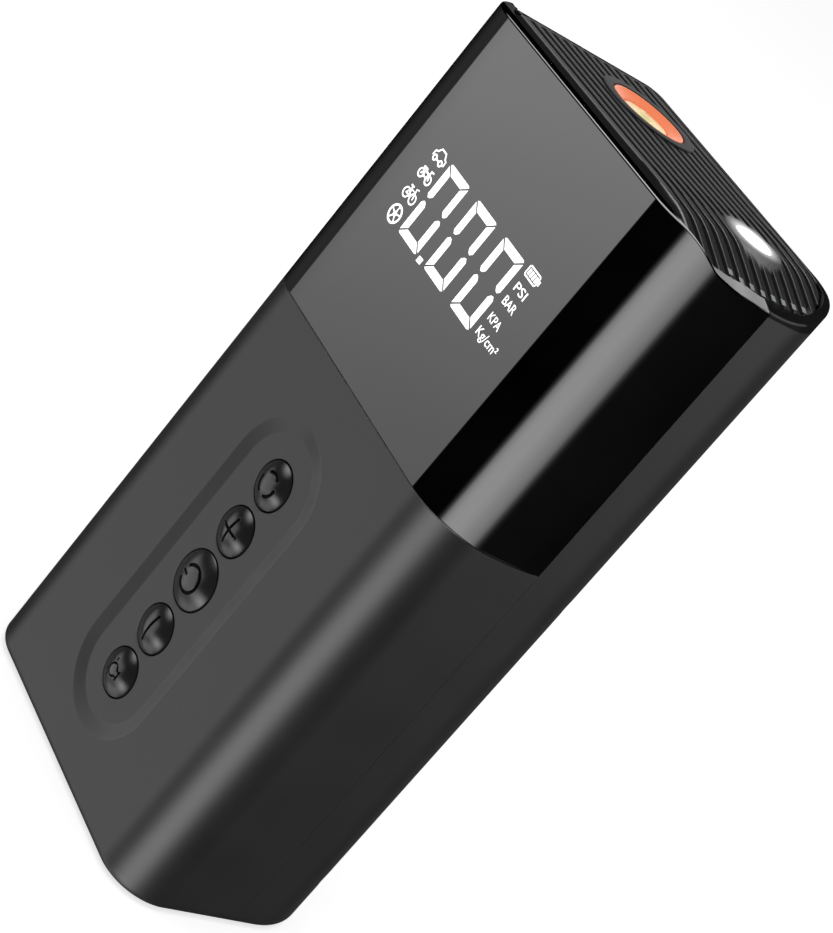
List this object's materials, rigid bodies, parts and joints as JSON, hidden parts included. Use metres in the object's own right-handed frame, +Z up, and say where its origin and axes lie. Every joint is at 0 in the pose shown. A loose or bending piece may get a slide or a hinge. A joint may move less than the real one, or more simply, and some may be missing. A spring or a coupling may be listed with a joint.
{
  "type": "handheld cordless air pump",
  "caption": "Upright handheld battery air pump with a glossy wrap-round display panel, recessed keypad, ribbed top with a hose socket and a work lamp.",
  "frame": {"origin": "centre of the base footprint, on the underside", "axes": "+Z up along the tall axis, -Y towards the display and keypad face, +X to the right seen from the front"},
  "size_m": [0.0746, 0.0506, 0.1557],
  "materials": {
    "shell_black": "fine-textured moulded black",
    "gloss_black": "polished piano black, smoked over the display",
    "cap_black": "fine-textured ribbed grille",
    "button_black": "satin-gloss domed keys",
    "orange_trim": "orange anodised ring",
    "brass": "turned",
    "rubber": "moulded",
    "lamp_clear": "lit white lens",
    "white_plastic": "white substrate",
    "board_green": "solder-masked circuit board",
    "black_plastic": "moulded",
    "cell_wrap": "shrink-wrapped cell",
    "nickel": "nickel strip",
    "steel": "machined",
    "copper": "lacquered windings on a stack",
    "frame_grey": "glass-filled",
    "alloy": "die-cast",
    "acetal": "natural acetal",
    "magnet_grey": "ferrite",
    "pipe_clear": "silicone tube"
  },
  "bodies": {
    "case": {"air_pipe": "pipe_clear", "case_screw_1": "steel", "case_screw_2": "steel", "case_screw_3": "steel", "case_screw_4": "steel", "cell_clip": "frame_grey", "cell_left": "cell_wrap", "cell_middle": "cell_wrap", "cell_right": "cell_wrap", "cell_tray": "frame_grey", "charge_board": "board_green", "connector_seal": "rubber", "control_board": "board_green", "cylinder": "alloy", "cylinder_head": "alloy", "display_module": "black_plastic", "display_panel": "gloss_black", "front_shell": "shell_black", "gear_axle": "steel", "hose_connector": "brass", "hose_ring": "orange_trim", "lamp_board": "white_plastic", "lamp_led": "lamp_clear", "lamp_lens": "lamp_clear", "lamp_reflector": "nickel", "light_switch": "black_plastic", "link_strip_lower": "nickel", "link_strip_upper": "nickel", "magnet_front": "magnet_grey", "magnet_rear": "magnet_grey", "minus_switch": "black_plastic", "mode_switch": "black_plastic", "motor_can": "steel", "motor_end_bell": "black_plastic", "plus_switch": "black_plastic", "power_switch": "black_plastic", "pressure_sensor": "black_plastic", "pump_frame": "alloy", "rear_shell": "shell_black", "shaft_bush_lower": "brass", "shaft_bush_upper": "brass", "top_cap": "cap_black", "usb_socket": "steel", "valve_flap": "rubber", "valve_plate": "steel"},
    "mode_key": {"mode_button": "button_black"},
    "plus_key": {"plus_button": "button_black"},
    "power_key": {"power_button": "button_black"},
    "minus_key": {"minus_button": "button_black"},
    "light_key": {"light_button": "button_black"},
    "rotor": {"rotor_shaft": "steel", "armature": "copper", "motor_pinion": "brass", "cooling_fan": "black_plastic"},
    "crank": {"crank_gear": "acetal", "gear_bearing": "steel"},
    "piston": {"piston_rod": "alloy", "crank_pin": "steel", "rod_bearing": "steel", "cup_seal": "rubber"}
  },
  "joints": [
    {"name": "mode_press", "type": "slide", "parent": "case", "child": "mode_key", "axis": [0, 1, 0], "range_m": [0, 0.0008], "stiffness_N_per_m": 900, "springref_m": -0.0006},
    {"name": "plus_press", "type": "slide", "parent": "case", "child": "plus_key", "axis": [0, 1, 0], "range_m": [0, 0.0008], "stiffness_N_per_m": 900, "springref_m": -0.0006},
    {"name": "power_press", "type": "slide", "parent": "case", "child": "power_key", "axis": [0, 1, 0], "range_m": [0, 0.0008], "stiffness_N_per_m": 900, "springref_m": -0.0006},
    {"name": "minus_press", "type": "slide", "parent": "case", "child": "minus_key", "axis": [0, 1, 0], "range_m": [0, 0.0008], "stiffness_N_per_m": 900, "springref_m": -0.0006},
    {"name": "light_press", "type": "slide", "parent": "case", "child": "light_key", "axis": [0, 1, 0], "range_m": [0, 0.0008], "stiffness_N_per_m": 900, "springref_m": -0.0006},
    {"name": "crank_spin", "type": "hinge", "parent": "case", "child": "crank", "pos_m": [-0.00305, 0.005, 0.128], "axis": [0, 0, 1], "continuous": true},
    {"name": "rotor_spin", "type": "hinge", "parent": "case", "child": "rotor", "pos_m": [-0.017, 0.005, 0.128], "axis": [0, 0, 1], "continuous": true},
    {"name": "piston_stroke", "type": "slide", "parent": "case", "child": "piston", "axis": [1, 0, 0], "range_m": [-0.008, 0]}
  ],
  "couplings": [
    {"joint": "crank_spin", "follows": "rotor_spin", "ratio": -0.27778}
  ]
}
